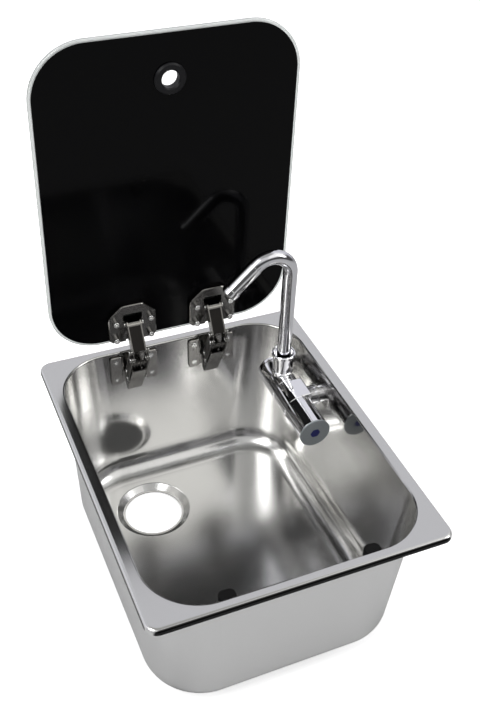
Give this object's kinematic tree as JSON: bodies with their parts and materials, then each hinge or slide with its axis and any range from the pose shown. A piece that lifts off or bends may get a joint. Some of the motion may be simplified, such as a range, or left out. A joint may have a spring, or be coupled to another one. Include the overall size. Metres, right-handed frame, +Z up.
{
  "type": "worktop sink with hinged glass lid",
  "caption": "Small rectangular pressed-steel sink for a camper worktop, with a black glass lid on lift-over hinges and a fold-down swan-neck tap on the side wall.",
  "frame": {"origin": "centre of the rim's top face, in the plane that lies flush above the worktop", "axes": "+X to the right towards the tap's wall, +Y to the hinges, +Z up"},
  "size_m": [0.2983, 0.354, 0.5143],
  "materials": {
    "polished_steel": "mirror-polished pressed stainless sheet",
    "seal_foam": "closed-cell black foam",
    "black_rubber": "moulded black rubber",
    "black_glass": "toughened glass, printed black on its underside",
    "black_plastic": "satin black plastic",
    "hinge_steel": "satin nickel-plated steel",
    "pin_steel": "bright steel pins and screws",
    "chrome": "bright chrome",
    "knob_grey": "grey plastic cap",
    "mark_blue": "dark blue cold-water mark",
    "brass": "turned brass",
    "seal_rubber": "black rubber seals"
  },
  "bodies": {
    "sink": {"sink_bowl": "polished_steel", "rim_seal": "seal_foam", "left_bumper": "black_rubber", "right_bumper": "black_rubber", "left_hinge_base": "hinge_steel", "left_base_pins": "pin_steel", "right_hinge_base": "hinge_steel", "right_base_pins": "pin_steel", "hinge_base_screws": "pin_steel", "hinge_base_nuts": "pin_steel", "tap_body": "chrome", "tap_inner_washer": "pin_steel", "tap_outer_washer": "seal_rubber", "tap_wall_nut": "brass", "inlet_tail": "brass", "valve_cartridge": "brass", "fold_axle": "brass", "fold_seals": "seal_rubber", "fold_washer": "brass", "fold_cap": "chrome"},
    "lift_links": {"left_lift_links": "hinge_steel", "right_lift_links": "hinge_steel"},
    "guide_links": {"left_guide_link": "hinge_steel", "right_guide_link": "hinge_steel"},
    "hinge_arms": {"left_hinge_arm": "hinge_steel", "left_arm_pins": "pin_steel", "right_hinge_arm": "hinge_steel", "right_arm_pins": "pin_steel"},
    "lid": {"glass_lid": "black_glass", "finger_ring": "black_plastic", "left_lid_plate": "hinge_steel", "right_lid_plate": "hinge_steel", "left_bond_plate": "hinge_steel", "right_bond_plate": "hinge_steel", "left_lid_pin": "pin_steel", "right_lid_pin": "pin_steel", "lid_plate_screws": "pin_steel"},
    "spout": {"spout_base": "chrome", "spout_seal": "seal_rubber", "spout_collar": "chrome", "spout_tube": "chrome", "spout_sleeve": "chrome", "spout_nozzle": "chrome", "aerator": "black_plastic"},
    "knob": {"tap_knob": "chrome", "knob_cap": "knob_grey", "knob_mark": "mark_blue", "knob_screw": "pin_steel", "tap_spindle": "brass"}
  },
  "joints": [
    {"name": "lift_link_swing", "type": "hinge", "parent": "sink", "child": "lift_links", "pos_m": [0, 0.15823, -0.02102], "axis": [1, 0, 0], "range_deg": [0, 90]},
    {"name": "guide_link_swing", "type": "hinge", "parent": "sink", "child": "guide_links", "pos_m": [0, 0.15523, -0.02873], "axis": [1, 0, 0], "range_deg": [0, 90]},
    {"name": "arm_pivot", "type": "hinge", "parent": "lift_links", "child": "hinge_arms", "pos_m": [0, 0.144, 0.0145], "axis": [1, 0, 0], "range_deg": [-90, 0]},
    {"name": "lid_tilt", "type": "hinge", "parent": "hinge_arms", "child": "lid", "pos_m": [0, 0.16, 0.0395], "axis": [1, 0, 0], "range_deg": [0, 90]},
    {"name": "spout_fold", "type": "hinge", "parent": "sink", "child": "spout", "pos_m": [0.1026, 0.105, -0.039], "axis": [0, -1, 0], "range_deg": [0, 112.5]},
    {"name": "knob_turn", "type": "hinge", "parent": "sink", "child": "knob", "pos_m": [0.1026, 0.05, -0.039], "axis": [0, 1, 0], "range_deg": [0, 90]}
  ],
  "couplings": [
    {"joint": "lift_link_swing", "follows": "lid_tilt", "ratio": 1},
    {"joint": "guide_link_swing", "follows": "lid_tilt", "ratio": 1},
    {"joint": "arm_pivot", "follows": "lid_tilt", "ratio": -1},
    {"joint": "spout_fold", "follows": "lid_tilt", "ratio": 1.25}
  ]
}
